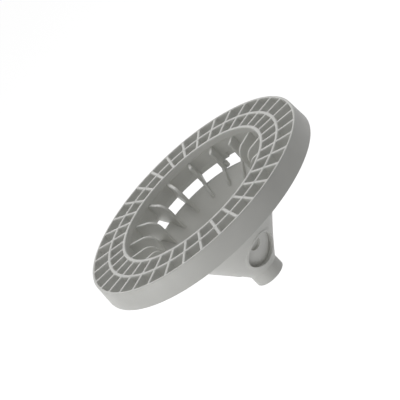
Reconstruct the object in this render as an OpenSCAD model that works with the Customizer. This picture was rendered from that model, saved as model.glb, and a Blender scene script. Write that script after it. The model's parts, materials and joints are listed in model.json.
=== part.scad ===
// Dishwasher strainer, moulded in one piece of light plastic.
// A ring with two rows of open cells carries a funnel on thin radial fins.
// The ring faces up, the spigot points down and its end is at z = 0. Millimetres.

/* [Overall] */
// Height from the end of the spigot to the top of the ring
total_h = 56; // [54:0.5:60]

/* [Ring] */
// Diameter across the top of the ring
ring_d = 120; // [118:1:124]
// Thickness of the ring's outer wall
ring_t = 1.3; // [1:0.1:1.6]
// Height of the ring's outer wall
skirt_h = 10.3; // [8:0.1:12]
// How far the outer wall leans out from top to bottom
skirt_lean = 0.8; // [0:0.1:1.2]
// Diameter of the round opening inside the ring
opening_d = 79.8; // [78.6:0.1:80.2]
// Mean diameter of the hoop between the two rows of cells
hoop_d = 99.4; // [96:0.2:103]
// Thickness of the hoop between the rows
hoop_t = 1.6; // [1.2:0.1:2]
// Depth of the bars and of the hoop
grid_h = 6; // [4:0.5:8]
// Radius of the rounded top edges
edge_r = 0.5; // [0.3:0.1:0.6]

/* [Bars] */
// Number of radial bars
bar_n = 36; // [24:2:44]
// Thickness of a bar
bar_t = 1.6; // [1.2:0.1:2]
// Angle of the first bar
bar_turn = 6.7; // [0:0.1:10]
// How far the tops of the bars lie below the ring's top
bar_sink = 0.15; // [0.1:0.05:0.4]

/* [Well] */
// Height of the smooth band at the top of the well
band_h = 3.2; // [2:0.1:4]
// Thickness of that band
band_t = 1.7; // [1.4:0.1:2]
// Thickness of the wall below the band
wall_t = 1.1; // [0.9:0.1:1.3]
// Depth at which the wall steps back
wall_h = 10; // [8:0.1:11]
// How far the foot of the wall stands back
foot_step = 1.7; // [1.2:0.1:2]
// Height of the foot
foot_h = 2.9; // [2:0.1:3.4]

/* [Fins] */
// Number of fins between the wall and the funnel
fin_n = 18; // [12:2:20]
// Thickness of a fin
fin_t = 1.6; // [1.2:0.1:2]
// Angle of the first fin
fin_turn = 17.7; // [15:0.1:20]
// Depth of a fin's top edge at the wall
fin_drop = 3; // [2:0.1:4]
// How much lower a fin's top edge is at its shoulder
fin_fall = 1; // [0.5:0.1:2]
// Diameter across the inner edges of the fins
fin_in_d = 56.8; // [54:0.2:60]
// Radius of the shoulder of a fin
fin_round = 6; // [4:0.5:7]
// Fins cut back beside the keyed bay, counted from the first fin
short_fins = [1, 2, 3]; // [0:1:11]
// Diameter across the inner edges of the short fins
short_in_d = 70.4; // [70:0.1:72]
// Radius of the upper corner of a short fin
short_round = 1; // [0.6:0.1:1.4]
// Height of the rib that a short fin leaves on the funnel
rib_h = 1.8; // [1.2:0.1:2.4]

/* [Keyed bay] */
// Angle at which the block in the keyed bay begins
key_from = 53; // [51:0.1:54]
// Angle at which that block ends, inside the next fin
key_to = 57.5; // [57:0.1:58]
// How far the block stands back from the wall
key_back = 0.2; // [0.1:0.1:0.5]
// Diameter of the peg beside that fin
peg_d = 2.6; // [2:0.1:3]
// Distance of the peg from the axis
peg_out = 38.2; // [38:0.1:39]
// Angle of the peg
peg_turn = 56; // [55.6:0.1:57]
// Height of the peg
peg_h = 3; // [2.4:0.1:3.4]

/* [Funnel] */
// Outer diameter of the funnel's rim
rim_d = 72; // [70:0.2:74]
// Depth of the rim below the ring's top
rim_drop = 15.1; // [14.5:0.1:16]
// Thickness of the funnel at its rim, measured level
funnel_t = 2.2; // [1.8:0.1:2.4]
// Thickness of the funnel at its low end, measured level
throat_t = 4.6; // [4.2:0.1:5]
// How far the funnel's side bows in from a straight line
funnel_bow = 1; // [0:0.1:2]
// Diameter of the spigot
spigot_d = 15.2; // [14.6:0.1:16]
// Diameter of the hole through the spigot
bore_d = 11.6; // [10.6:0.1:12]
// Length of the spigot
spigot_h = 6.2; // [5:0.1:8]

/* [Sockets] */
// Number of round sockets in the outside of the funnel
socket_n = 3; // [1:1:3]
// Angle of the first socket
socket_turn = 47.7; // [40:0.1:55]
// Diameter of a socket
socket_d = 16.8; // [12:0.2:17.6]
// Height of a socket's centre above the spigot's end
socket_z = 18.3; // [17:0.1:20]
// Depth of a socket, counted from the level of the rim
socket_in_top = 1.2; // [0.8:0.1:1.4]
// Depth of a socket, counted at the low end of the funnel
socket_in_low = 2.5; // [1.8:0.1:2.6]
// Width of the raised lip around a socket
lip_w = 1.4; // [1:0.1:1.8]
// Height of the raised lip
lip_h = 0.4; // [0.2:0.1:0.6]
// Diameter of the small round seat inside a socket
seat_d = 6; // [4:0.2:7]
// Further depth of the small seat
seat_in = 1.5; // [1:0.1:1.8]
// Thickness of the funnel behind the small seat, measured level
seat_t = 1.7; // [1.4:0.1:2]

/* [Hidden] */
// How far pieces of the moulding run into each other
lap = 0.4;
// How far a cutter reaches past what it cuts
over = 1;
// Sides of the large circles, the sockets and the peg
round_n = 120;
socket_round_n = 64;
peg_round_n = 24;
// Steps along the funnel's side, a rounded edge and a fin's shoulder
bow_n = 8;
edge_n = 3;
shoulder_n = 8;
// Place of the small seat in its socket, sideways and up from the centre
seat_side = -1.2;
seat_up = 5.2;
// How far the sockets' cutters reach out from the funnel
cut_out = 4;
ring_r = ring_d / 2;
opening_r = opening_d / 2;
hoop_r = hoop_d / 2;
well_out = opening_r + band_t;
well_in = well_out - wall_t;
step_z = total_h - wall_h;
foot_in = well_in + foot_step;
foot_out = foot_in + wall_t;
foot_z = step_z - foot_h;
rim_r = rim_d / 2;
rim_z = total_h - rim_drop;
neck_r = spigot_d / 2 + lap;
fin_r = fin_in_d / 2;
short_r = short_in_d / 2;
lip_d = socket_d + 2 * lip_w;

// A point on the outside of the funnel, from its rim at t = 0 to the spigot at t = 1.
function side(t) =
    let (
        run = neck_r - rim_r,
        fall = spigot_h - rim_z,
        slant = norm([run, fall]),
        bow = 4 * funnel_bow * t * (1 - t)
    )
    [rim_r + run * t + bow * fall / slant, rim_z + fall * t - bow * run / slant];

// A point at a level depth below the outside, which grows from the rim to the spigot.
function below(t, top_in, low_in) = side(t) - [top_in + (low_in - top_in) * t, 0];

// The outline of a layer of the funnel's side, from a distance outside it to a depth below it.
function layer(top_in, low_in, out) =
    concat(
        [for (i = [0 : bow_n]) side(i / bow_n) + [out, 0]],
        [for (i = [bow_n : -1 : 0]) below(i / bow_n, top_in, low_in)]
    );

// An arc of points around a centre.
function arc(x, y, r, from, to, n) =
    [for (i = [0 : n]) let (a = from + (to - from) * i / n) [x + r * cos(a), y + r * sin(a)]];

// Height of the funnel's inside at a radius, along the line of its upper part.
function inside_z(r) =
    let (a = below(0, funnel_t, throat_t), b = below(2 / bow_n, funnel_t, throat_t))
    a[1] + (b[1] - a[1]) * (a[0] - r) / (a[0] - b[0]);

// The outer edge of every fin, where it runs down the wall and across to the funnel's rim.
function fin_back() = [
    [rim_r - funnel_t / 2, rim_z - fin_fall],
    [foot_in + wall_t / 2, foot_z + lap],
    [foot_in + wall_t / 2, step_z + lap],
    [well_in + wall_t / 2, step_z + lap],
    [well_in + wall_t / 2, total_h - fin_drop]
];

module turned(points) {
    rotate_extrude($fn = round_n)
        polygon(points);
}

// Copies spread evenly around the axis, from a first angle.
module around(n, first) {
    for (i = [0 : n - 1])
        rotate([0, 0, first + 360 * i / n])
            children();
}

// The outer wall of the ring, leaning out, with its top edges rounded.
module outer_wall() {
    low = total_h - skirt_h;
    turned(concat(
        [[ring_r - ring_t + skirt_lean, low], [ring_r + skirt_lean, low]],
        arc(ring_r - edge_r, total_h - edge_r, edge_r, 0, 90, edge_n),
        arc(ring_r - ring_t + edge_r, total_h - edge_r, edge_r, 90, 180, edge_n)
    ));
}

// The hoop between the two rows of cells.
module hoop() {
    from = hoop_r - hoop_t / 2;
    to = hoop_r + hoop_t / 2;
    turned(concat(
        [[from, total_h - grid_h], [to, total_h - grid_h]],
        arc(to - edge_r, total_h - edge_r, edge_r, 0, 90, edge_n),
        arc(from + edge_r, total_h - edge_r, edge_r, 90, 180, edge_n)
    ));
}

// The round wall of the well: a smooth band, a thinner wall and a foot that stands back.
module well() {
    turned(concat(
        [[foot_in, step_z], [foot_in, foot_z], [foot_out, foot_z], [foot_out, step_z + wall_t]],
        [[well_out, step_z + wall_t]],
        arc(well_out - edge_r, total_h - edge_r, edge_r, 0, 90, edge_n),
        arc(opening_r + edge_r, total_h - edge_r, edge_r, 90, 180, edge_n),
        [[opening_r, total_h - band_h], [well_in, total_h - band_h - (well_in - opening_r)]],
        [[well_in, step_z]]
    ));
}

// One radial bar, from the well to the outer wall, with its top edges rounded.
module bar() {
    top = total_h - bar_sink;
    from = opening_r + band_t / 2;
    to = ring_r - ring_t / 2;
    translate([from, 0, 0])
        rotate([90, 0, 90])
            linear_extrude(height = to - from)
                polygon(concat(
                    [[-bar_t / 2, total_h - grid_h], [bar_t / 2, total_h - grid_h]],
                    arc(bar_t / 2 - edge_r, top - edge_r, edge_r, 0, 90, edge_n),
                    arc(-bar_t / 2 + edge_r, top - edge_r, edge_r, 90, 180, edge_n)
                ));
}

// A flat plate of the fins' thickness, standing on a radius, from its outline in radius and height.
module plate(points) {
    rotate([90, 0, 0])
        translate([0, 0, -fin_t / 2])
            linear_extrude(height = fin_t)
                polygon(points);
}

// A full fin, with a round shoulder and an upright inner edge down to the funnel.
module full_fin() {
    shoulder_z = total_h - fin_drop - fin_fall - fin_round;
    plate(concat(
        fin_back(),
        arc(fin_r + fin_round, shoulder_z, fin_round, 90, 180, shoulder_n),
        [[fin_r, inside_z(fin_r) - funnel_t / 2]]
    ));
}

// A short fin: a post near the wall and a low rib that runs down the funnel.
module short_fin() {
    corner_z = total_h - fin_drop - fin_fall - short_round;
    plate(concat(
        fin_back(),
        arc(short_r + short_round, corner_z, short_round, 90, 180, edge_n),
        [[short_r, inside_z(short_r) + rib_h]],
        [[fin_r + rib_h, inside_z(fin_r + rib_h) + rib_h]],
        [[fin_r, inside_z(fin_r) + rib_h / 2]],
        [[fin_r, inside_z(fin_r) - funnel_t / 2]]
    ));
}

// The block that fills the wall's step in the keyed bay, and the peg on the fin beside it.
module key() {
    rotate([0, 0, key_from])
        rotate_extrude(angle = key_to - key_from, $fn = round_n)
            translate([well_in + key_back, foot_z])
                square([foot_step - key_back + wall_t / 2, foot_h + lap]);
    rotate([0, 0, peg_turn])
        translate([peg_out, 0, foot_z + lap - peg_h])
            cylinder(r = peg_d / 2, h = peg_h, $fn = peg_round_n);
}

// The funnel and its spigot, before the sockets and the bore.
module funnel() {
    turned(layer(funnel_t, throat_t, 0));
    cylinder(r = spigot_d / 2, h = spigot_h + lap, $fn = round_n);
}

// The part of a layer of the funnel's side that a level round rod meets, out from the axis.
module patch(points, d, sideways, up) {
    intersection() {
        turned(points);
        translate([0, sideways, socket_z + up])
            rotate([0, 90, 0])
                cylinder(r = d / 2, h = rim_r, $fn = socket_round_n);
    }
}

// The raised lip of a socket, and the boss behind its small seat.
module socket_solid() {
    boss_in = seat_in + seat_t;
    patch(layer(funnel_t / 2, funnel_t / 2, lip_h), lip_d, 0, 0);
    patch(layer(socket_in_top + boss_in, socket_in_low + boss_in, 0),
          seat_d + 2 * seat_t, seat_side, seat_up);
}

// What a socket and its small seat take out of the funnel.
module socket_cut() {
    patch(layer(socket_in_top, socket_in_low, cut_out), socket_d, 0, 0);
    patch(layer(socket_in_top + seat_in, socket_in_low + seat_in, cut_out),
          seat_d, seat_side, seat_up);
}

// The strainer, in one piece.
module strainer() {
    color([0.72, 0.72, 0.69])
        difference() {
            union() {
                outer_wall();
                hoop();
                well();
                funnel();
                key();
                around(bar_n, bar_turn)
                    bar();
                for (i = [0 : fin_n - 1])
                    rotate([0, 0, fin_turn + 360 * i / fin_n])
                        if (len(search(i, short_fins)) > 0)
                            short_fin();
                        else
                            full_fin();
                around(socket_n, socket_turn)
                    socket_solid();
            }
            around(socket_n, socket_turn)
                socket_cut();
            translate([0, 0, -over])
                cylinder(r = bore_d / 2, h = socket_z + over, $fn = round_n);
        }
}

strainer();
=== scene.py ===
import json
import math

import bmesh
import bpy
import numpy as np
from bpy.props import FloatProperty, FloatVectorProperty, IntProperty, PointerProperty
from mathutils import Matrix, Vector


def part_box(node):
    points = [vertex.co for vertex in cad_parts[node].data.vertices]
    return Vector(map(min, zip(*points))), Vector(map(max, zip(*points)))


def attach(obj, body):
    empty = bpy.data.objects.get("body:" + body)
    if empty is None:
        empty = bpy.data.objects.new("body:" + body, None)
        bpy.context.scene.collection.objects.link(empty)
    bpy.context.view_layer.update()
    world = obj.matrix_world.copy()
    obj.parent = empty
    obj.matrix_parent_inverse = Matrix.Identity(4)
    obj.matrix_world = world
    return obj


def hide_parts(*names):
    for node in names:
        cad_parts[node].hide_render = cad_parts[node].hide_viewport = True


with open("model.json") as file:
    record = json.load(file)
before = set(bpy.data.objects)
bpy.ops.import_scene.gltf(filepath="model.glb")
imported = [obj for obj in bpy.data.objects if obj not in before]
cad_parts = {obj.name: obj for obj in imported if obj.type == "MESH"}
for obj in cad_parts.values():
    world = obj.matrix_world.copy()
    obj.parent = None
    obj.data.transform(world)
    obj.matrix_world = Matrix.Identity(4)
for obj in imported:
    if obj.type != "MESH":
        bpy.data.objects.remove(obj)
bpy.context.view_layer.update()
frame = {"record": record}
LOW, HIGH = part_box("strainer")
RECORD_COLOUR = tuple(frame["record"]["materials"][0]["base_color"][:3])

bl_info = {
    "name": "Dishwasher Strainer",
    "version": (1, 0, 0),
    "blender": (4, 5, 0),
    "location": "3D View > Sidebar > Strainer",
    "description": "Builds a one-piece moulded strainer and the stage it is seen on",
    "category": "Add Mesh",
}

MM = 0.001
NODE = "strainer"
BODY = "root"
CIRCLE = 2 * math.pi
RING_STEPS = 256
FUNNEL_STEPS = 400
SIDE_ROWS = 112
INSIDE_ROWS = 48
ARC_STEPS = 4
SHOULDER_STEPS = 12
KEY_STEPS = 12
PEG_STEPS = 32
BAR_ARC_STEPS = 3
BEVEL_STEPS = 3
BEVEL_ANGLE = math.radians(40)
SHARP = math.radians(35)

# How near two points are taken as one, and how near a point lies on the funnel's side
MERGE = 1e-7
ON_SIDE = 2e-6
# Step between the undersides of two pieces that would otherwise lie in one plane
STEP_UP = 0.05 * MM
# A corner this near to straight gets no arc, and an arc takes up to this share of an edge
NEARLY_STRAIGHT = 0.02
ARC_SHARE = 0.49
# How near a circle a point of the funnel's wall is pulled onto it
SNAP = 0.19 * MM
# Shares of a bar's root fillet at which its side has a point
ROOT_SHARES = (0, 0.06, 0.22, 0.5, 1)
# Share of the way down the funnel at which its rows of points begin, below the rounded rim
SIDE_START = 0.014

# Noise scales per metre, and how far the colour, the sheen and the grain vary
CLOUD_SCALE, CLOUD_DEPTH = 55, 0.04
SHEEN_SCALE, SHEEN_DEPTH = 170, 0.05
GRAIN_SCALE, GRAIN_STRENGTH = 2200, 0.35
NOISE_LOW, NOISE_HIGH = 0.3, 0.7
PLASTIC_IOR = 1.5


# Sizes and colours

def length(name, millimetres, text):
    """A length in the panel, written in millimetres and kept in metres."""
    return FloatProperty(name=name, description=text, default=millimetres * MM, unit="LENGTH", precision=5)


def angle(name, degrees, text):
    """An angle in the panel, written in degrees."""
    return FloatProperty(name=name, description=text, default=math.radians(degrees), subtype="ANGLE")


class RingSizes(bpy.types.PropertyGroup):
    """Sizes of the outer wall and of the hoop between the two rows of cells."""

    top: length("Top", HIGH.z / MM, "Height of the ring's top above the spigot's end")
    radius: length("Radius", 60, "Outer radius of the ring at its top")
    wall: length("Wall", 1.3, "Thickness of the outer wall")
    height: length("Height", 10.3, "Height of the outer wall")
    lean: length("Lean", 0.8, "How far the outer wall leans out from top to bottom")
    hoop_radius: length("Hoop Radius", 49.7, "Mean radius of the hoop between the rows of cells")
    hoop_wall: length("Hoop Wall", 1.6, "Thickness of the hoop")
    grid_height: length("Grid Height", 6, "Depth of the hoop and of the bars")
    edge: length("Edge Radius", 0.5, "Radius of the rounded top edges")


class BarSizes(bpy.types.PropertyGroup):
    """Sizes of the radial bars."""

    count: IntProperty(name="Count", description="Number of radial bars", default=36, min=3)
    first: angle("First Angle", 6.7, "Angle of the first bar")
    thickness: length("Thickness", 1.6, "Thickness of a bar")
    sink: length("Sink", 0.15, "How far the bars lie below the ring's top")
    root: length("Root Fillet", 0.4, "Radius where a bar runs into a wall")


class WellSizes(bpy.types.PropertyGroup):
    """Sizes of the round wall around the opening."""

    radius: length("Opening Radius", 39.9, "Radius of the round opening")
    band_height: length("Band Height", 3.2, "Height of the smooth band")
    band_wall: length("Band Wall", 1.7, "Thickness of the smooth band")
    wall: length("Wall", 1.1, "Thickness of the wall below the band")
    depth: length("Depth", 10, "Depth at which the wall steps back")
    step: length("Step", 1.7, "How far the foot of the wall stands back")
    foot: length("Foot", 2.9, "Height of the foot")


class FinSizes(bpy.types.PropertyGroup):
    """Sizes of the fins that carry the funnel."""

    full_count: IntProperty(name="Full Fins", description="Number of full fins", default=15, min=1)
    full_first: angle("First Full Fin", 97.7, "Angle of the first full fin")
    short_count: IntProperty(name="Short Fins", description="Number of short fins", default=3, min=1)
    short_first: angle("First Short Fin", 37.7, "Angle of the first short fin")
    step: angle("Step", 20, "Angle from one fin to the next")
    thickness: length("Thickness", 1.6, "Thickness of a fin")
    drop: length("Drop", 3, "Depth of a fin's top edge at the wall")
    fall: length("Fall", 1, "How much lower the top edge is at the shoulder")
    inner: length("Inner Radius", 28.4, "Distance of a full fin's inner edge from the axis")
    shoulder: length("Shoulder", 6, "Radius of a full fin's shoulder")
    short_inner: length("Short Inner Radius", 35.2, "Distance of a short fin's post from the axis")
    short_corner: length("Short Corner", 1, "Radius of a short fin's upper corner")
    rib: length("Rib", 1.8, "Height of the rib that a short fin leaves on the funnel")
    edge: length("Edge Radius", 0.35, "Radius of the rounded edges")
    bite: length("Bite", 0.4, "How far a fin runs into what carries it")


class KeySizes(bpy.types.PropertyGroup):
    """Sizes of the block and the peg in the keyed bay."""

    start: angle("Block Start", 53, "Angle at which the block begins")
    end: angle("Block End", 57.5, "Angle at which the block ends, inside the next fin")
    back: length("Back", 0.2, "How far the block stands back from the wall")
    edge: length("Edge Radius", 0.2, "Radius of the block's edges")
    peg_radius: length("Peg Radius", 1.3, "Radius of the peg")
    peg_height: length("Peg Height", 3, "Height of the peg")
    peg_out: length("Peg Distance", 38.2, "Distance of the peg from the axis")
    peg_angle: angle("Peg Angle", 56, "Angle of the peg")


class FunnelSizes(bpy.types.PropertyGroup):
    """Sizes of the funnel and its spigot."""

    rim: length("Rim Radius", 36, "Outer radius of the funnel's rim")
    drop: length("Rim Drop", 15.1, "Depth of the rim below the ring's top")
    wall: length("Wall at Rim", 2.2, "Thickness at the rim, measured level")
    throat: length("Wall at Throat", 4.6, "Thickness at the low end, measured level")
    bow: length("Bow", 1, "How far the side bows in from a straight line")
    spigot: length("Spigot Radius", 7.6, "Outer radius of the spigot")
    bore: length("Bore Radius", 5.8, "Radius of the hole through the spigot")
    spigot_height: length("Spigot Length", 6.2, "Length of the spigot")
    neck: length("Neck Radius", 8, "Outer radius of the funnel where it meets the spigot")
    edge: length("Edge Radius", 0.3, "Radius of the rounded edges")


class SocketSizes(bpy.types.PropertyGroup):
    """Sizes of the round sockets in the funnel's outside."""

    count: IntProperty(name="Count", description="Number of sockets", default=3, min=1)
    first: angle("First Angle", 47.7, "Angle of the first socket")
    radius: length("Radius", 8.4, "Radius of a socket")
    height: length("Height", 18.3, "Height of a socket's centre")
    depth_top: length("Depth at Rim", 1.2, "Depth of a socket, counted from the level of the rim")
    depth_low: length("Depth at Throat", 2.5, "Depth of a socket, counted at the low end")
    lip: length("Lip Width", 1.4, "Width of the raised lip")
    lip_height: length("Lip Height", 0.4, "Height of the raised lip")
    seat: length("Seat Radius", 3, "Radius of the small seat")
    seat_depth: length("Seat Depth", 1.5, "Further depth of the small seat")
    seat_side: length("Seat Sideways", -1.2, "Place of the small seat, sideways from the centre")
    seat_up: length("Seat Up", 5.2, "Place of the small seat, up from the centre")
    seat_wall: length("Seat Wall", 1.7, "Thickness of the funnel behind the small seat")
    slope: length("Wall Slope", 0.35, "Width over which a socket's wall goes down")


class FinishSizes(bpy.types.PropertyGroup):
    """Colour and surface of the moulded plastic."""

    colour: FloatVectorProperty(
        name="Colour", description="Colour of the plastic", subtype="COLOR", size=3, min=0, max=1,
        default=RECORD_COLOUR,
    )
    roughness: FloatProperty(name="Roughness", description="Mean roughness", default=0.46, min=0, max=1)
    grain: length("Grain", 0.02, "Depth of the fine grain")


class StrainerSizes(bpy.types.PropertyGroup):
    """All that a user would change."""

    ring: PointerProperty(type=RingSizes)
    bars: PointerProperty(type=BarSizes)
    well: PointerProperty(type=WellSizes)
    fins: PointerProperty(type=FinSizes)
    key: PointerProperty(type=KeySizes)
    funnel: PointerProperty(type=FunnelSizes)
    sockets: PointerProperty(type=SocketSizes)
    finish: PointerProperty(type=FinishSizes)


def sizes():
    return bpy.context.scene.strainer


# Mesh helpers

def piece(name, verts, faces):
    """A new closed piece from its points and faces, with its doubles merged and its faces outwards."""
    mesh = bpy.data.meshes.new(name)
    mesh.from_pydata([tuple(map(float, v)) for v in verts], [], faces)
    work = bmesh.new()
    work.from_mesh(mesh)
    bmesh.ops.remove_doubles(work, verts=work.verts, dist=MERGE)
    bmesh.ops.recalc_face_normals(work, faces=work.faces)
    work.to_mesh(mesh)
    work.free()
    obj = bpy.data.objects.new(name, mesh)
    bpy.context.scene.collection.objects.link(obj)
    return obj


def rounded(corners, steps=ARC_STEPS):
    """A closed outline from corners (x, y, radius), with an arc at each corner that has a radius."""
    out = []
    count = len(corners)
    for i, (x, y, radius) in enumerate(corners):
        here = Vector((x, y))
        back = Vector(corners[i - 1][:2]) - here
        ahead = Vector(corners[(i + 1) % count][:2]) - here
        if radius <= 0 or min(back.length, ahead.length) < MERGE:
            out.append((x, y))
            continue
        room = ARC_SHARE * min(back.length, ahead.length)
        back.normalize()
        ahead.normalize()
        opening = back.angle(ahead)
        if opening > math.pi - NEARLY_STRAIGHT:
            out.append((x, y))
            continue
        reach = min(radius / math.tan(opening / 2), room)
        real = reach * math.tan(opening / 2)
        centre = here + (back + ahead).normalized() * (real / math.sin(opening / 2))
        first = here + back * reach - centre
        last = here + ahead * reach - centre
        start = math.atan2(first.y, first.x)
        swing = math.atan2(first.x * last.y - first.y * last.x, first.dot(last))
        for k in range(steps + 1):
            a = start + swing * k / steps
            out.append((centre.x + real * math.cos(a), centre.y + real * math.sin(a)))
    return out


def arc(x, y, radius, start, end, steps):
    """Points along an arc, from one angle to another in degrees."""
    turns = [math.radians(start + (end - start) * k / steps) for k in range(steps + 1)]
    return [(x + radius * math.cos(a), y + radius * math.sin(a)) for a in turns]


def revolved(outline, steps, start=0.0, swing=CIRCLE):
    """Points and faces of an outline in radius and height, turned around the axis."""
    whole = abs(swing - CIRCLE) < 1e-6
    rows = steps if whole else steps + 1
    n = len(outline)
    verts = []
    for k in range(rows):
        a = start + swing * k / steps
        verts += [(r * math.cos(a), r * math.sin(a), z) for r, z in outline]
    faces = []
    for k in range(steps):
        this, other = k * n, ((k + 1) % rows) * n
        faces += [(this + i, this + (i + 1) % n, other + (i + 1) % n, other + i) for i in range(n)]
    if not whole:
        faces += [tuple(range(n)), tuple(reversed(range((rows - 1) * n, rows * n)))]
    return verts, faces


def lofted(name, sections):
    """A closed piece through sections with the same number of points."""
    n = len(sections[0])
    verts = [point for section in sections for point in section]
    faces = []
    for k in range(len(sections) - 1):
        this, other = k * n, (k + 1) * n
        faces += [(this + i, this + (i + 1) % n, other + (i + 1) % n, other + i) for i in range(n)]
    last = (len(sections) - 1) * n
    faces += [tuple(range(n)), tuple(reversed(range(last, last + n)))]
    return piece(name, verts, faces)


def plate(name, outline, thickness):
    """A flat plate on a radius, from its outline in radius and height."""
    half = thickness / 2
    return lofted(name, [[(r, side, z) for r, z in outline] for side in (-half, half)])


def flattened(obj):
    """Turns a piece with modifiers into its plain result."""
    graph = bpy.context.evaluated_depsgraph_get()
    mesh = bpy.data.meshes.new_from_object(obj.evaluated_get(graph), depsgraph=graph)
    obj.modifiers.clear()
    obj.data = mesh
    mesh.name = obj.name
    return obj


def softened(obj, width):
    """Rounds the piece's sharp edges."""
    bevel = obj.modifiers.new("Rounded edges", "BEVEL")
    bevel.width = width
    bevel.segments = BEVEL_STEPS
    bevel.limit_method = "ANGLE"
    bevel.angle_limit = BEVEL_ANGLE
    bevel.use_clamp_overlap = False
    return flattened(obj)


def finished(obj):
    """Gives a piece its plastic and its place in the frame."""
    mesh = obj.data
    mesh.materials.clear()
    mesh.materials.append(moulded_plastic())
    mesh.shade_smooth()
    mesh.set_sharp_from_angle(angle=SHARP)
    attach(obj, BODY)
    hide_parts(NODE)
    return obj


def dropped(obj):
    """Removes a piece that was only a pattern for copies."""
    bpy.data.objects.remove(obj)


# Copies around the axis

def repeat_tree():
    """A node tree that repeats one piece around the axis."""
    name = "Repeat around the axis"
    if name in bpy.data.node_groups:
        return bpy.data.node_groups[name]
    tree = bpy.data.node_groups.new(name, "GeometryNodeTree")
    tree.interface.new_socket(name="Geometry", in_out="INPUT", socket_type="NodeSocketGeometry")
    for label, kind in (
        ("Piece", "NodeSocketObject"),
        ("Copies", "NodeSocketInt"),
        ("First Angle", "NodeSocketFloat"),
        ("Step", "NodeSocketFloat"),
        ("Material", "NodeSocketMaterial"),
    ):
        tree.interface.new_socket(name=label, in_out="INPUT", socket_type=kind)
    tree.interface.new_socket(name="Geometry", in_out="OUTPUT", socket_type="NodeSocketGeometry")
    new, link = tree.nodes.new, tree.links.new
    start = new("NodeGroupInput")
    points = new("GeometryNodePoints")
    info = new("GeometryNodeObjectInfo")
    index = new("GeometryNodeInputIndex")
    total = new("ShaderNodeMath")
    total.operation = "MULTIPLY_ADD"
    spin = new("ShaderNodeCombineXYZ")
    euler = new("FunctionNodeEulerToRotation")
    place = new("GeometryNodeInstanceOnPoints")
    real = new("GeometryNodeRealizeInstances")
    paint = new("GeometryNodeSetMaterial")
    end = new("NodeGroupOutput")
    link(start.outputs["Copies"], points.inputs["Count"])
    link(start.outputs["Piece"], info.inputs["Object"])
    link(index.outputs[0], total.inputs[0])
    link(start.outputs["Step"], total.inputs[1])
    link(start.outputs["First Angle"], total.inputs[2])
    link(total.outputs[0], spin.inputs["Z"])
    link(spin.outputs[0], euler.inputs[0])
    link(points.outputs[0], place.inputs["Points"])
    link(info.outputs["Geometry"], place.inputs["Instance"])
    link(euler.outputs[0], place.inputs["Rotation"])
    link(place.outputs[0], real.inputs[0])
    link(real.outputs[0], paint.inputs["Geometry"])
    link(start.outputs["Material"], paint.inputs["Material"])
    link(paint.outputs[0], end.inputs[0])
    return tree


def repeated(name, pattern, copies, first, step):
    """One piece made of copies of a pattern around the axis."""
    obj = bpy.data.objects.new(name, bpy.data.meshes.new(name))
    bpy.context.scene.collection.objects.link(obj)
    tree = repeat_tree()
    values = {
        "Piece": pattern, "Copies": int(copies), "First Angle": float(first), "Step": float(step),
        "Material": moulded_plastic(),
    }
    modifier = obj.modifiers.new("Copies", "NODES")
    modifier.node_group = tree
    for item in tree.interface.items_tree:
        if item.item_type == "SOCKET" and item.in_out == "INPUT" and item.name in values:
            modifier[item.identifier] = values[item.name]
    bpy.context.view_layer.update()
    flattened(obj)
    dropped(pattern)
    if not obj.data.polygons:
        raise RuntimeError(f"{name} came out empty")
    return finished(obj)


# Material

def moulded_plastic():
    """Light plastic with a faint cloudiness, a fine grain and an uneven sheen."""
    name = "moulded_plastic"
    if name in bpy.data.materials:
        return bpy.data.materials[name]
    s = sizes().finish
    material = bpy.data.materials.new(name)
    material.use_nodes = True
    tree = material.node_tree
    new, link = tree.nodes.new, tree.links.new
    shader = next(n for n in tree.nodes if n.type == "BSDF_PRINCIPLED")
    shader.inputs["IOR"].default_value = PLASTIC_IOR
    place = new("ShaderNodeTexCoord")

    def noise(scale, detail):
        node = new("ShaderNodeTexNoise")
        node.inputs["Scale"].default_value = scale
        node.inputs["Detail"].default_value = detail
        link(place.outputs["Object"], node.inputs["Vector"])
        return node

    def ranged(node, low, high):
        step = new("ShaderNodeMapRange")
        step.inputs["From Min"].default_value = NOISE_LOW
        step.inputs["From Max"].default_value = NOISE_HIGH
        step.inputs["To Min"].default_value = low
        step.inputs["To Max"].default_value = high
        link(node.outputs["Fac"], step.inputs["Value"])
        return step

    cloud = new("ShaderNodeMix")
    cloud.data_type = "RGBA"
    colours = [socket for socket in cloud.inputs if socket.type == "RGBA"]
    colours[0].default_value = [c * (1 - CLOUD_DEPTH) for c in s.colour] + [1]
    colours[1].default_value = [min(c * (1 + CLOUD_DEPTH), 1) for c in s.colour] + [1]
    link(ranged(noise(CLOUD_SCALE, 3), 0, 1).outputs["Result"], cloud.inputs[0])
    mixed = next(socket for socket in cloud.outputs if socket.type == "RGBA")
    link(mixed, shader.inputs["Base Color"])
    sheen = ranged(noise(SHEEN_SCALE, 2), s.roughness - SHEEN_DEPTH, s.roughness + SHEEN_DEPTH)
    link(sheen.outputs["Result"], shader.inputs["Roughness"])
    bump = new("ShaderNodeBump")
    bump.inputs["Strength"].default_value = GRAIN_STRENGTH
    bump.inputs["Distance"].default_value = s.grain
    link(noise(GRAIN_SCALE, 2).outputs["Fac"], bump.inputs["Height"])
    link(bump.outputs["Normal"], shader.inputs["Normal"])
    return material


# Outlines

def well_lines():
    """Radii of the well's walls, and the heights of its step and its lower edge."""
    w = sizes().well
    outer = w.radius + w.band_wall
    inner = outer - w.wall
    foot_in = inner + w.step
    step = sizes().ring.top - w.depth
    return {"outer": outer, "inner": inner, "foot_in": foot_in, "foot_out": foot_in + w.wall,
            "step": step, "low": step - w.foot}


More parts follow.
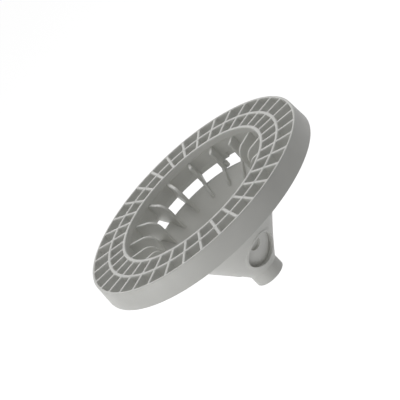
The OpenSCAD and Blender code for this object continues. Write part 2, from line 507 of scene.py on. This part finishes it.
def funnel_lines(rows=801):
    """The funnel's side as radius, height and share of the way down, from the spigot up to the rim."""
    f = sizes().funnel
    rim_height = sizes().ring.top - f.drop
    share = np.linspace(1, 0, rows)
    run, fall = f.neck - f.rim, f.spigot_height - rim_height
    slant = math.hypot(run, fall)
    bow = 4 * f.bow * share * (1 - share)
    radius = f.rim + run * share + bow * fall / slant
    height = rim_height + fall * share - bow * run / slant
    inside = radius - (f.wall + (f.throat - f.wall) * share)
    return radius, height, share, inside


def inside_height(distance):
    """Height of the funnel's inside at a distance from the axis."""
    _, height, _, inside = funnel_lines()
    return float(np.interp(distance, inside, height))


def fin_back():
    """The outer edge of every fin, down the wall and across to the funnel's rim."""
    s, f, w = sizes().fins, sizes().funnel, sizes().well
    lines, top = well_lines(), sizes().ring.top
    return [
        (f.rim - f.wall / 2, top - f.drop - s.fall),
        (lines["foot_in"] + w.wall / 2, lines["low"] + s.bite),
        (lines["foot_in"] + w.wall / 2, lines["step"] + s.bite),
        (lines["inner"] + w.wall / 2, lines["step"] + s.bite),
        (lines["inner"] + w.wall / 2, top - s.drop),
    ]


# Pieces

class STRAINER_OT_ring(bpy.types.Operator):
    """Make the ring's outer wall and the hoop between its rows of cells"""

    bl_idname = "strainer.ring"
    bl_label = "Ring"

    def execute(self, context):
        s = sizes().ring
        low, top, small = s.top - s.height, s.top, s.edge / 2
        wall = rounded([
            (s.radius - s.wall + s.lean, low, small),
            (s.radius + s.lean, low, small),
            (s.radius, top, s.edge),
            (s.radius - s.wall, top, s.edge),
        ])
        finished(piece("outer_wall", *revolved(wall, RING_STEPS)))
        inner, outer = s.hoop_radius - s.hoop_wall / 2, s.hoop_radius + s.hoop_wall / 2
        hoop = rounded([
            (inner, top - s.grid_height, small),
            (outer, top - s.grid_height, small),
            (outer, top, s.edge),
            (inner, top, s.edge),
        ])
        finished(piece("hoop", *revolved(hoop, RING_STEPS)))
        return {"FINISHED"}


class STRAINER_OT_bars(bpy.types.Operator):
    """Make the radial bars, which widen a little where they run into a wall"""

    bl_idname = "strainer.bars"
    bl_label = "Bars"

    def execute(self, context):
        s, ring, well = sizes().bars, sizes().ring, sizes().well
        hoop = (ring.hoop_radius - ring.hoop_wall / 2, ring.hoop_radius + ring.hoop_wall / 2)
        start, end = well.radius + well.band_wall / 2, ring.radius - ring.wall / 2
        spans = ((well_lines()["outer"], hoop[0]), (hoop[1], ring.radius - ring.wall))
        places = [(start, s.root), (end, s.root)]
        for a, b in spans:
            for share in ROOT_SHARES:
                wide = s.root * (1 - math.sqrt(1 - (1 - share) ** 2))
                places += [(a + share * s.root, wide), (b - share * s.root, wide)]
        top, low = ring.top - s.sink, ring.top - ring.grid_height + STEP_UP
        sections = []
        for x, wide in sorted(places):
            half = s.thickness / 2 + wide
            outline = rounded([
                (-half, low, ring.edge / 2), (half, low, ring.edge / 2),
                (half, top, ring.edge), (-half, top, ring.edge),
            ], BAR_ARC_STEPS)
            sections.append([(x, y, z) for y, z in outline])
        bar = lofted("bar_pattern", sections)
        repeated("bars", bar, s.count, s.first, CIRCLE / s.count)
        return {"FINISHED"}


class STRAINER_OT_well(bpy.types.Operator):
    """Make the round wall of the well, with its band, its step and its foot"""

    bl_idname = "strainer.well"
    bl_label = "Well"

    def execute(self, context):
        s, ring, at = sizes().well, sizes().ring, well_lines()
        top, small = ring.top, ring.edge / 2
        neck = s.radius + s.band_wall - s.wall
        outline = rounded([
            (at["foot_in"], at["step"], small),
            (at["foot_in"], at["low"], small),
            (at["foot_out"], at["low"], small),
            (at["foot_out"], at["step"] + s.wall, small),
            (at["outer"], at["step"] + s.wall, small),
            (at["outer"], top, ring.edge),
            (s.radius, top, ring.edge),
            (s.radius, top - s.band_height, small),
            (neck, top - s.band_height - (neck - s.radius), small),
            (at["inner"], at["step"], small),
        ])
        finished(piece("well", *revolved(outline, RING_STEPS)))
        return {"FINISHED"}


class STRAINER_OT_fins(bpy.types.Operator):
    """Make the full fins and the short ones beside the keyed bay"""

    bl_idname = "strainer.fins"
    bl_label = "Fins"

    def execute(self, context):
        s, f, top = sizes().fins, sizes().funnel, sizes().ring.top
        root = inside_height(s.inner) - f.wall / 2
        crown = top - s.drop - s.fall
        full = fin_back() + arc(s.inner + s.shoulder, crown - s.shoulder, s.shoulder, 90, 180, SHOULDER_STEPS)
        full.append((s.inner, root))
        pattern = softened(plate("full_fin_pattern", full, s.thickness), s.edge)
        repeated("full_fins", pattern, s.full_count, s.full_first, s.step)
        corner = s.short_corner
        short = fin_back() + arc(s.short_inner + corner, crown - corner, corner, 90, 180, ARC_STEPS)
        short += [
            (s.short_inner, inside_height(s.short_inner) + s.rib),
            (s.inner + s.rib, inside_height(s.inner + s.rib) + s.rib),
            (s.inner, inside_height(s.inner) + s.rib / 2),
            (s.inner, root),
        ]
        pattern = softened(plate("short_fin_pattern", short, s.thickness), s.edge)
        repeated("short_fins", pattern, s.short_count, s.short_first, s.step)
        return {"FINISHED"}


class STRAINER_OT_key(bpy.types.Operator):
    """Make the block that fills the wall's step in the keyed bay, and the peg beside it"""

    bl_idname = "strainer.key"
    bl_label = "Keyed Bay"

    def execute(self, context):
        s, at, bite = sizes().key, well_lines(), sizes().fins.bite
        inner, outer = at["inner"] + s.back, (at["foot_in"] + at["foot_out"]) / 2
        low, high = at["low"] + STEP_UP, at["step"] + bite
        block = rounded([(inner, low, s.edge), (outer, low, 0), (outer, high, 0), (inner, high, s.edge)])
        finished(piece("key_block", *revolved(block, KEY_STEPS, s.start, s.end - s.start)))
        top = at["low"] + bite
        low, soft = top - s.peg_height, s.peg_radius / 3
        peg = rounded([(0, low, 0), (s.peg_radius, low, soft), (s.peg_radius, top, soft), (0, top, 0)])
        verts, faces = revolved(peg, PEG_STEPS)
        east, north = s.peg_out * math.cos(s.peg_angle), s.peg_out * math.sin(s.peg_angle)
        finished(piece("key_peg", [(x + east, y + north, z) for x, y, z in verts], faces))
        return {"FINISHED"}


class STRAINER_OT_funnel(bpy.types.Operator):
    """Make the funnel with its spigot, and press the lipped sockets into its outside"""

    bl_idname = "strainer.funnel"
    bl_label = "Funnel"

    def execute(self, context):
        f = sizes().funnel
        radius, height, share, inside = funnel_lines()
        rim_height = height[-1]

        def side(rows, first, last, line):
            """Points along one face of the funnel's wall, between two shares of the way down."""
            picks = np.linspace(first, last, rows)
            across = np.interp(picks, share[::-1], line[::-1])
            up = np.interp(picks, share[::-1], height[::-1])
            return [(float(r), float(z), 0) for r, z in zip(across, up)]

        # The inside of the funnel ends where it meets the bore
        mouth = float(np.interp(f.bore, inside, share))
        corners = [(f.rim, rim_height, f.edge)]
        corners += side(SIDE_ROWS, SIDE_START, 1, radius)
        corners += [(f.spigot, f.spigot_height, 0)]
        corners += [(f.spigot, 0, f.edge), (f.bore, 0, f.edge)]
        corners += side(INSIDE_ROWS, mouth, SIDE_START, inside)
        corners += [(f.rim - f.wall, rim_height, f.edge)]
        verts, faces = revolved(rounded(corners), FUNNEL_STEPS)
        verts = np.array(verts)
        self.press(verts)
        obj = piece("funnel", verts, faces)
        finished(obj)
        return {"FINISHED"}

    def press(self, verts):
        """Moves points of the funnel's wall in and out, for the sockets and the bosses behind them."""
        f, s = sizes().funnel, sizes().sockets
        radius, height, share, inside = funnel_lines()
        distance = np.hypot(verts[:, 0], verts[:, 1])
        above = verts[:, 2] > f.spigot_height + f.edge
        outer = above & (np.abs(distance - np.interp(verts[:, 2], height, radius)) < ON_SIDE)
        inner = above & (np.abs(distance - np.interp(verts[:, 2], height, inside)) < ON_SIDE)
        lip_end = s.radius + s.lip
        lip_top = lip_end - s.slope
        boss = s.seat + s.seat_wall
        for k in range(s.count):
            turn = s.first + CIRCLE * k / s.count
            cos, sin = math.cos(turn), math.sin(turn)
            across = verts[:, 1] * cos - verts[:, 0] * sin
            out = verts[:, 0] * cos + verts[:, 1] * sin
            up = verts[:, 2].copy()
            seat_at = (s.seat_side, s.height + s.seat_up)
            circles = [((0, s.height), r) for r in (s.radius, s.radius - s.slope, lip_end, lip_top)]
            circles += [(seat_at, r) for r in (s.seat, s.seat - s.slope)]
            facing = out > 0
            for rows, marks in ((outer & facing, circles), (inner & facing, [(seat_at, boss)])):
                free = rows.copy()
                for (x, z), r in marks:
                    gap = np.hypot(across - x, up - z)
                    near = free & (np.abs(gap - r) < SNAP)
                    pull = r / gap[near]
                    across[near] = x + (across[near] - x) * pull
                    up[near] = z + (up[near] - z) * pull
                    free &= ~near
            gap = np.hypot(across, up - s.height)
            seat_gap = np.hypot(across - seat_at[0], up - seat_at[1])
            near_socket = facing & (gap < lip_end + 3 * SNAP)
            down = np.interp(up, height, share)
            depth = s.depth_top + (s.depth_low - s.depth_top) * down
            into = np.clip((s.radius - gap) / s.slope, 0, 1)
            lip = np.clip((lip_end - gap) / s.slope, 0, 1) * s.lip_height
            seat = np.clip((s.seat - seat_gap) / s.slope, 0, 1) * s.seat_depth
            shift = lip - (depth + s.lip_height) * into - seat
            reach = np.interp(up, height, radius) + shift
            rows = outer & near_socket
            out[rows] = np.sqrt(reach[rows] ** 2 - across[rows] ** 2)
            wall = f.wall + (f.throat - f.wall) * down
            behind = depth + s.seat_depth + s.seat_wall
            bump = np.maximum(behind - wall, 0) * np.clip((boss - seat_gap) / (s.slope * 2), 0, 1)
            reach = np.interp(up, height, inside) - bump
            rows = inner & facing & (seat_gap < boss + 3 * SNAP)
            out[rows] = np.sqrt(reach[rows] ** 2 - across[rows] ** 2)
            moved = (outer & near_socket) | rows
            verts[moved, 0] = (out * cos - across * sin)[moved]
            verts[moved, 1] = (out * sin + across * cos)[moved]
            verts[moved, 2] = up[moved]


# Stage

FLOOR_HEIGHT = -0.2
FLOOR_HALF = 4.0
# The floor's colour in other rays, and its paint and its glow where it is seen
FLOOR_BOUNCE = (0.8, 0.8, 0.8, 1)
FLOOR_PAINT = (0.3, 0.3, 0.3, 1)
FLOOR_GLOW = 0.9
# Each lamp's name, place, width and level
KEY_LAMP = ("Key lamp", (-0.05, 0.55, 0.85), 0.7, 0.46)
FILL_LAMP = ("Fill lamp", (-0.92, -0.42, -0.08), 0.8, 0.49)
AMBIENT = 0.28

# The photograph's camera: its place, how far it looks down, its roll and its lens
CAMERA_PLACE = (0.00047, -0.69048, 0.3131)
CAMERA_DOWN = math.radians(20.84)
CAMERA_ROLL = math.radians(-44.25)
CAMERA_LENS = 147.42
SENSOR = 36


def seen_directly(tree):
    """One where a ray comes from the camera, a mirror or glass, and nothing otherwise."""
    rays = tree.nodes.new("ShaderNodeLightPath")
    total = rays.outputs["Is Camera Ray"]
    for name in ("Is Glossy Ray", "Is Transmission Ray"):
        more = tree.nodes.new("ShaderNodeMath")
        more.operation = "MAXIMUM"
        tree.links.new(total, more.inputs[0])
        tree.links.new(rays.outputs[name], more.inputs[1])
        total = more.outputs[0]
    return total


def pale_floor():
    """A white floor that keeps a soft shadow."""
    material = bpy.data.materials.new("pale_floor")
    material.use_nodes = True
    tree = material.node_tree
    tree.nodes.clear()
    plain = tree.nodes.new("ShaderNodeBsdfDiffuse")
    plain.inputs["Color"].default_value = FLOOR_BOUNCE
    paint = tree.nodes.new("ShaderNodeBsdfDiffuse")
    paint.inputs["Color"].default_value = FLOOR_PAINT
    glow = tree.nodes.new("ShaderNodeEmission")
    glow.inputs["Strength"].default_value = FLOOR_GLOW
    both = tree.nodes.new("ShaderNodeAddShader")
    pick = tree.nodes.new("ShaderNodeMixShader")
    end = tree.nodes.new("ShaderNodeOutputMaterial")
    link = tree.links.new
    link(paint.outputs[0], both.inputs[0])
    link(glow.outputs[0], both.inputs[1])
    link(seen_directly(tree), pick.inputs[0])
    link(plain.outputs[0], pick.inputs[1])
    link(both.outputs[0], pick.inputs[2])
    link(pick.outputs[0], end.inputs["Surface"])
    return material


def lamp(name, place, width, level):
    """A round soft lamp that lights what faces it at the given level, where one is full white."""
    place = Vector(place)
    aim = (LOW + HIGH) / 2 - place
    light = bpy.data.lights.new(name, "AREA")
    light.shape = "DISK"
    light.size = width
    light.energy = level * math.pi ** 2 * aim.length_squared
    obj = bpy.data.objects.new(name, light)
    obj.matrix_world = Matrix.Translation(place) @ aim.to_track_quat("-Z", "Y").to_matrix().to_4x4()
    obj.visible_camera = False
    bpy.context.scene.collection.objects.link(obj)


class STRAINER_OT_stage(bpy.types.Operator):
    """Make the floor, the soft lamps, the pale world and the camera"""

    bl_idname = "strainer.stage"
    bl_label = "Stage"

    def execute(self, context):
        scene = context.scene
        scene.view_settings.view_transform = "Standard"
        half = FLOOR_HALF
        square = ((-half, -half), (half, -half), (half, half), (-half, half))
        mesh = bpy.data.meshes.new("floor")
        mesh.from_pydata([(x, y, FLOOR_HEIGHT) for x, y in square], [], [(0, 1, 2, 3)])
        mesh.materials.append(pale_floor())
        floor = bpy.data.objects.new("floor", mesh)
        scene.collection.objects.link(floor)
        lamp(*KEY_LAMP)
        lamp(*FILL_LAMP)
        self.world(scene)
        self.camera(scene)
        return {"FINISHED"}

    def world(self, scene):
        """White where it is seen, and a plain soft light otherwise."""
        world = bpy.data.worlds.new("pale_world")
        scene.world = world
        world.use_nodes = True
        tree = world.node_tree
        tree.nodes.clear()
        soft, white = tree.nodes.new("ShaderNodeBackground"), tree.nodes.new("ShaderNodeBackground")
        soft.inputs["Color"].default_value = (1, 1, 1, 1)
        soft.inputs["Strength"].default_value = AMBIENT
        white.inputs["Color"].default_value = (1, 1, 1, 1)
        white.inputs["Strength"].default_value = 1
        pick = tree.nodes.new("ShaderNodeMixShader")
        end = tree.nodes.new("ShaderNodeOutputWorld")
        tree.links.new(seen_directly(tree), pick.inputs[0])
        tree.links.new(soft.outputs[0], pick.inputs[1])
        tree.links.new(white.outputs[0], pick.inputs[2])
        tree.links.new(pick.outputs[0], end.inputs["Surface"])

    def camera(self, scene):
        """The photograph's view."""
        down, roll = CAMERA_DOWN, CAMERA_ROLL
        right, up = Vector((1, 0, 0)), Vector((0, math.sin(down), math.cos(down)))
        ahead = Vector((0, math.cos(down), -math.sin(down)))
        across = right * math.cos(roll) + up * math.sin(roll)
        upward = up * math.cos(roll) - right * math.sin(roll)
        data = bpy.data.cameras.new("photo_camera")
        data.lens = CAMERA_LENS
        data.sensor_width = SENSOR
        camera = bpy.data.objects.new("photo_camera", data)
        scene.collection.objects.link(camera)
        turn = Matrix((across, upward, -ahead)).transposed().to_4x4()
        camera.matrix_world = Matrix.Translation(CAMERA_PLACE) @ turn
        scene.camera = camera


# Panel and registration

STEPS = (
    STRAINER_OT_stage,
    STRAINER_OT_ring,
    STRAINER_OT_bars,
    STRAINER_OT_well,
    STRAINER_OT_fins,
    STRAINER_OT_key,
    STRAINER_OT_funnel,
)


class STRAINER_PT_panel(bpy.types.Panel):
    """Lists the pieces and their sizes"""

    bl_label = "Strainer"
    bl_idname = "STRAINER_PT_panel"
    bl_space_type = "VIEW_3D"
    bl_region_type = "UI"
    bl_category = "Strainer"

    def draw(self, context):
        for step in STEPS:
            self.layout.operator(step.bl_idname)
        everything = context.scene.strainer
        for group in ("ring", "bars", "well", "fins", "key", "funnel", "sockets", "finish"):
            box = self.layout.box()
            box.label(text=group.capitalize())
            values = getattr(everything, group)
            for name in values.__annotations__:
                box.prop(values, name)


CLASSES = (
    RingSizes, BarSizes, WellSizes, FinSizes, KeySizes, FunnelSizes, SocketSizes, FinishSizes,
    StrainerSizes, *STEPS, STRAINER_PT_panel,
)


def register():
    for cls in CLASSES:
        bpy.utils.register_class(cls)
    bpy.types.Scene.strainer = PointerProperty(type=StrainerSizes)


def unregister():
    del bpy.types.Scene.strainer
    for cls in reversed(CLASSES):
        bpy.utils.unregister_class(cls)


def main():
    register()
    bpy.ops.strainer.stage()
    bpy.ops.strainer.ring()
    bpy.ops.strainer.bars()
    bpy.ops.strainer.well()
    bpy.ops.strainer.fins()
    bpy.ops.strainer.key()
    bpy.ops.strainer.funnel()


if __name__ == "__main__":
    main()
